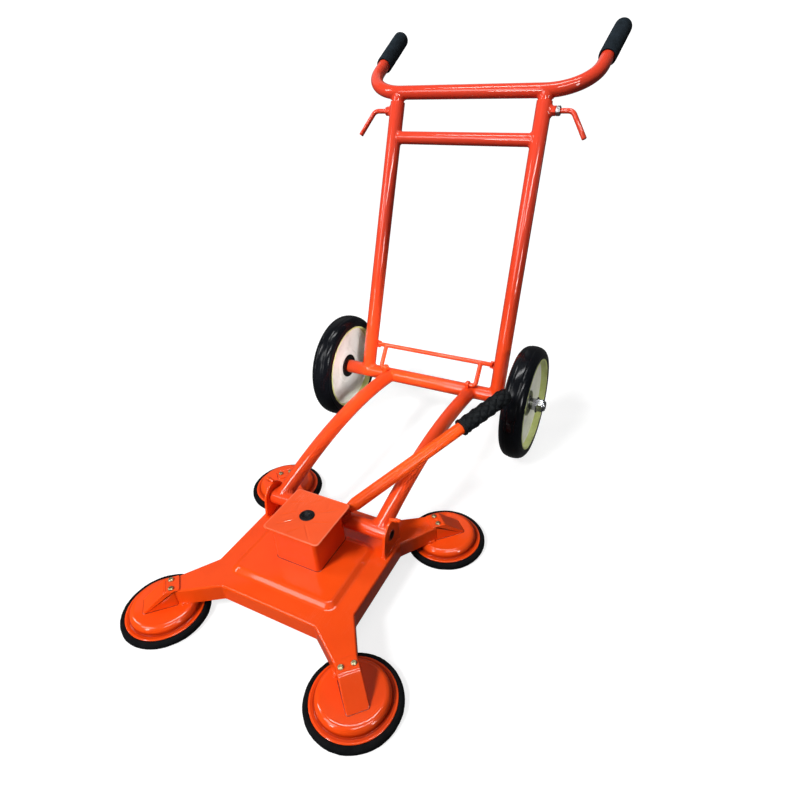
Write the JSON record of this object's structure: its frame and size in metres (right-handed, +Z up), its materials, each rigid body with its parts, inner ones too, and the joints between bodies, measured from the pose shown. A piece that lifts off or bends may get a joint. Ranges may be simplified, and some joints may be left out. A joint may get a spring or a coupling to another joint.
{
  "type": "suction brick lifter",
  "caption": "Hand-truck style vacuum lifter for paving stones: tubular frame with wheels and a height-adjustable handlebar, and a tilting suction base with a hand-lever pump.",
  "frame": {"origin": "on the floor under the middle of the bounding box", "axes": "+Y from the suction base back to the handles, +Z up, +X to the right when the object is seen from its suction base end with the handles at the back"},
  "size_m": [0.5616, 1.2012, 0.8342],
  "materials": {
    "orange_paint": "gloss powder coat",
    "tyre": "smooth, slightly glossy",
    "rim_paint": "gloss yellow-green",
    "disc_paint": "gloss cream white",
    "dark_steel": "oiled dark steel",
    "foam": "matt foam",
    "sponge": "matt closed-cell sponge",
    "steel": "turned",
    "chrome": "bright plated",
    "bronze": "sintered bronze",
    "aluminium": "cast, machined",
    "black_plastic": "fine grain",
    "brass_screw": "yellow plated",
    "hose": "smooth",
    "grip_rubber": "embossed"
  },
  "bodies": {
    "frame": {"axle_tube": "orange_paint", "arm_left": "orange_paint", "arm_right": "orange_paint", "pivot_tube": "orange_paint", "pivot_bushes": "bronze", "upright_left": "orange_paint", "upright_right": "orange_paint", "cross_bar": "orange_paint", "clamp_nuts": "orange_paint", "bail_catches": "orange_paint", "bail_lugs": "orange_paint", "axle_rod": "steel", "axle_nuts": "chrome"},
    "handlebar": {"handlebar": "orange_paint", "stem_left": "orange_paint", "stem_right": "orange_paint", "grip_left": "foam", "grip_right": "foam"},
    "clamp_left": {"clamp_screw_left": "orange_paint"},
    "clamp_right": {"clamp_screw_right": "orange_paint"},
    "bail": {"rod_bail": "orange_paint"},
    "wheel_left": {"tyre_left": "tyre", "rim_left": "rim_paint", "disc_left": "disc_paint", "hub_left": "dark_steel", "bearings_left": "dark_steel"},
    "wheel_right": {"tyre_right": "tyre", "rim_right": "rim_paint", "disc_right": "disc_paint", "hub_right": "dark_steel", "bearings_right": "dark_steel"},
    "base": {"base_plate": "orange_paint", "pivot_lugs": "orange_paint", "stop_pins": "orange_paint", "pivot_pin": "steel", "pump_housing": "orange_paint", "pump_lid": "orange_paint", "pump_cylinder": "steel", "cylinder_head": "steel", "valve_block": "aluminium", "lever_bracket": "orange_paint", "lever_pin": "steel", "release_valve": "black_plastic", "cup_front_left": "orange_paint", "cup_front_right": "orange_paint", "cup_rear_left": "orange_paint", "cup_rear_right": "orange_paint", "seal_front_left": "sponge", "seal_front_right": "sponge", "seal_rear_left": "sponge", "seal_rear_right": "sponge", "cup_covers": "orange_paint", "cover_screws": "brass_screw", "air_hoses": "hose", "hose_elbows": "brass_screw"},
    "lever": {"pump_lever": "orange_paint", "lever_grip": "grip_rubber", "lever_fork": "orange_paint"},
    "piston": {"piston": "steel"},
    "button": {"release_button": "black_plastic"}
  },
  "joints": [
    {"name": "wheel_left_spin", "type": "hinge", "parent": "frame", "child": "wheel_left", "pos_m": [-0.2295, 0.15188, 0.125], "axis": [1, 0, 0], "continuous": true},
    {"name": "wheel_right_spin", "type": "hinge", "parent": "frame", "child": "wheel_right", "pos_m": [0.2295, 0.15188, 0.125], "axis": [1, 0, 0], "continuous": true},
    {"name": "base_tilt", "type": "hinge", "parent": "frame", "child": "base", "pos_m": [0, -0.29412, 0.091], "axis": [1, 0, 0], "range_deg": [-3, 28]},
    {"name": "lever_swing", "type": "hinge", "parent": "base", "child": "lever", "pos_m": [0.039, -0.30412, 0.1163], "axis": [0.8563, -0.5164, 0], "range_deg": [0, 22]},
    {"name": "piston_slide", "type": "slide", "parent": "base", "child": "piston", "axis": [0, 0, -1], "range_m": [0, 0.0173]},
    {"name": "release_button_press", "type": "slide", "parent": "base", "child": "button", "axis": [0, 0, -1], "range_m": [0, 0.003], "stiffness_N_per_m": 800},
    {"name": "handlebar_height", "type": "slide", "parent": "frame", "child": "handlebar", "axis": [0, 0.3495, 0.9369], "range_m": [0, 0.15]},
    {"name": "clamp_screw_left_turn", "type": "hinge", "parent": "frame", "child": "clamp_left", "pos_m": [-0.164, 0.35847, 0.67872], "axis": [1, 0, 0], "range_deg": [-90, 90]},
    {"name": "clamp_screw_right_turn", "type": "hinge", "parent": "frame", "child": "clamp_right", "pos_m": [0.164, 0.35847, 0.67872], "axis": [1, 0, 0], "range_deg": [-90, 90]},
    {"name": "bail_swing", "type": "hinge", "parent": "frame", "child": "bail", "pos_m": [0, 0.14288, 0.146], "axis": [1, 0, 0], "range_deg": [0, 120]}
  ],
  "couplings": [
    {"joint": "piston_slide", "follows": "lever_swing", "m_per_rad": 0.04489}
  ]
}
